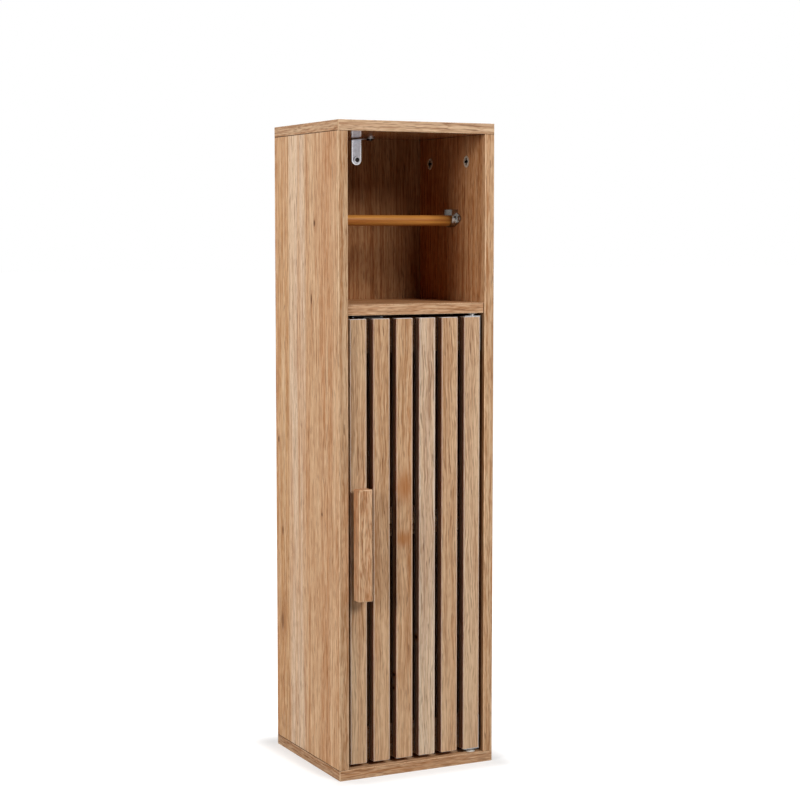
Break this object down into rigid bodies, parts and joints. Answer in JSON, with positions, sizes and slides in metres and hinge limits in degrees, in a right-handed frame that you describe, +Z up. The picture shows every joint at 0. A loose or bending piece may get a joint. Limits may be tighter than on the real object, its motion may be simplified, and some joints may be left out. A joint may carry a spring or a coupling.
{
  "type": "toilet roll storage cabinet",
  "caption": "Tall narrow free-standing wooden cabinet with a slatted hinged door below and an open bay with a lift-out roll bar above.",
  "frame": {"origin": "centre of the footprint on the floor, under the middle of the bottom board", "axes": "+Z up; the door and the open bay face -Y; +X is to the right as seen from the front, the side with the door's pivots"},
  "size_m": [0.212, 0.2114, 0.8],
  "materials": {
    "oak_board": "satin oak-grain laminate",
    "oak_slat": "satin oak-grain laminate",
    "bamboo": "lacquered bamboo",
    "beech": "plain",
    "socket_chrome": "polished",
    "steel": "zinc plated",
    "zinc": "die-cast",
    "nylon": "matte",
    "brown_plastic": "matte",
    "magnet": "plain"
  },
  "bodies": {
    "cabinet": {"top_board": "oak_board", "bottom_board": "oak_board", "left_side_panel": "oak_board", "right_side_panel": "oak_board", "back_panel": "oak_board", "fixed_shelf": "oak_board", "inner_shelf": "oak_board", "shelf_pins": "steel", "cam_locks": "zinc", "cam_bolts": "steel", "joint_dowels": "beech", "wall_bracket": "steel", "wall_bracket_screws": "steel", "left_roll_socket": "socket_chrome", "right_roll_socket": "socket_chrome", "roll_socket_screws": "steel", "top_pivot_bush": "nylon", "bottom_pivot_bush": "nylon", "catch_housing": "brown_plastic", "catch_magnet": "magnet", "catch_screws": "steel"},
    "door": {"door_slat_1": "oak_slat", "door_slat_2": "oak_slat", "door_slat_3": "oak_slat", "door_slat_4": "oak_slat", "door_slat_5": "oak_slat", "door_slat_6": "oak_slat", "door_top_rail": "oak_slat", "door_bottom_rail": "oak_slat", "rail_screws": "steel", "handle_bar": "oak_slat", "handle_spacers": "oak_slat", "handle_screws": "steel", "top_pivot_plate": "steel", "bottom_pivot_plate": "steel", "pivot_plate_screws": "steel", "strike_plate": "steel", "strike_plate_screws": "steel"},
    "roll_bar": {"roll_bar": "bamboo"}
  },
  "joints": [
    {"name": "door_hinge", "type": "hinge", "parent": "cabinet", "child": "door", "pos_m": [0.0806, -0.0861, 0], "axis": [0, 0, 1], "range_deg": [0, 105]},
    {"name": "roll_bar_lift", "type": "slide", "parent": "cabinet", "child": "roll_bar", "axis": [0, 0, 1], "range_m": [0, 0.06]}
  ]
}
